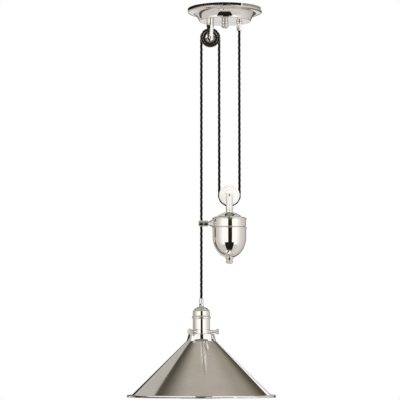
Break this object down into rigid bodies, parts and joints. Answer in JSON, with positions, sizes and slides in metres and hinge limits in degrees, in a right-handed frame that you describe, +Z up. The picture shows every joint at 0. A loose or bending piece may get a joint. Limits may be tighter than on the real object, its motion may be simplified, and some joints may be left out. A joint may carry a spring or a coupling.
{
  "type": "rise and fall pendant lamp",
  "caption": "Pendant lamp that rises and falls on a twisted flex: ceiling rose with a wheel, counterweight with a wheel and guide arm, lampholder and wide cone shade.",
  "frame": {"origin": "on the ceiling plane, at the centre of the rose", "axes": "+Z points up into the ceiling and the front of the lamp faces -Y; the falls of the flex lie in the plane y = 0, with the lamp on the -X side"},
  "size_m": [0.405, 0.4048, 1.0675],
  "materials": {
    "nickel": "polished nickel plate on spun or turned metal",
    "steel": "zinc-plated or bright steel",
    "brass": "plain turned or pressed brass",
    "iron": "rough grey cast iron",
    "ceramic": "white glazed porcelain",
    "connector": "moulded white plastic",
    "flex": "black braided cover over twisted cores",
    "cores": "single insulated cores"
  },
  "bodies": {
    "root": {"rose_cover": "nickel", "ceiling_bracket": "steel", "centre_stud": "steel", "stud_lock_nut": "steel", "load_plate": "steel", "terminal_block": "connector", "terminal_screws": "brass", "rose_cores": "cores", "earth_screw": "brass", "ceiling_fork": "nickel", "fork_washer": "steel", "fork_nut": "steel", "ceiling_axle": "steel", "ceiling_axle_nut": "steel", "anchor_gland": "nickel", "anchor_washer": "steel", "anchor_nut": "steel", "anchor_grub_screw": "steel", "flex_lamp_fall": "flex", "flex_over_wheel": "flex", "flex_middle_fall": "flex", "flex_anchor_fall": "flex"},
    "finial": {"rose_finial": "nickel"},
    "ceiling_wheel": {"ceiling_wheel": "nickel", "ceiling_wheel_bush": "brass"},
    "weight": {"flex_under_wheel": "flex", "weight_fork": "nickel", "weight_axle": "steel", "weight_axle_nut": "steel", "weight_lid": "nickel", "weight_band": "nickel", "weight_cup": "nickel", "ballast": "iron", "ballast_nut": "steel", "tie_rod": "steel", "guide_arm": "nickel", "guide_arm_nut": "steel", "guide_bush": "steel"},
    "weight_wheel": {"weight_wheel": "nickel", "weight_wheel_bush": "brass"},
    "weight_knob": {"weight_knob": "nickel"},
    "lamp": {"cord_grip": "nickel", "grip_nut": "steel", "grip_screw": "steel", "holder_cap": "nickel", "holder_skirt": "nickel", "holder_insulator": "ceramic", "screw_shell": "brass", "centre_contact": "brass", "holder_terminals": "brass", "holder_cores": "cores", "gallery": "nickel", "shade": "nickel", "shade_ring": "nickel"},
    "thumbscrew_right": {"thumbscrew_right": "nickel"},
    "thumbscrew_left": {"thumbscrew_left": "nickel"},
    "thumbscrew_back": {"thumbscrew_back": "nickel"}
  },
  "joints": [
    {"name": "lamp_slide", "type": "slide", "parent": "root", "child": "lamp", "axis": [0, 0, 1], "range_m": [-0.76, 0.12], "deforming": ["flex_lamp_fall"]},
    {"name": "weight_slide", "type": "slide", "parent": "root", "child": "weight", "axis": [0, 0, 1], "range_m": [-0.06, 0.38], "deforming": ["flex_middle_fall", "flex_anchor_fall"]},
    {"name": "ceiling_wheel_spin", "type": "hinge", "parent": "root", "child": "ceiling_wheel", "pos_m": [-0.0405, 0, -0.0805], "axis": [0, 1, 0], "continuous": true},
    {"name": "weight_wheel_spin", "type": "hinge", "parent": "weight", "child": "weight_wheel", "pos_m": [0.01175, 0, -0.5165], "axis": [0, 1, 0], "continuous": true},
    {"name": "finial_turn", "type": "hinge", "parent": "root", "child": "finial", "pos_m": [0, 0, -0.045], "axis": [0, 0, 1], "continuous": true},
    {"name": "weight_knob_turn", "type": "hinge", "parent": "weight", "child": "weight_knob", "pos_m": [0.01175, 0, -0.69], "axis": [0, 0, 1], "continuous": true},
    {"name": "thumbscrew_right_turn", "type": "hinge", "parent": "lamp", "child": "thumbscrew_right", "pos_m": [-0.065, 0, -0.8895], "axis": [0.9703, -0.2419, 0], "continuous": true},
    {"name": "thumbscrew_left_turn", "type": "hinge", "parent": "lamp", "child": "thumbscrew_left", "pos_m": [-0.065, 0, -0.8895], "axis": [-0.6947, -0.7193, 0], "continuous": true},
    {"name": "thumbscrew_back_turn", "type": "hinge", "parent": "lamp", "child": "thumbscrew_back", "pos_m": [-0.065, 0, -0.8895], "axis": [-0.2756, 0.9613, 0], "continuous": true}
  ],
  "couplings": [
    {"joint": "weight_slide", "follows": "lamp_slide", "ratio": -0.5},
    {"joint": "ceiling_wheel_spin", "follows": "lamp_slide", "rad_per_m": 40.816},
    {"joint": "weight_wheel_spin", "follows": "lamp_slide", "rad_per_m": -18.018}
  ]
}
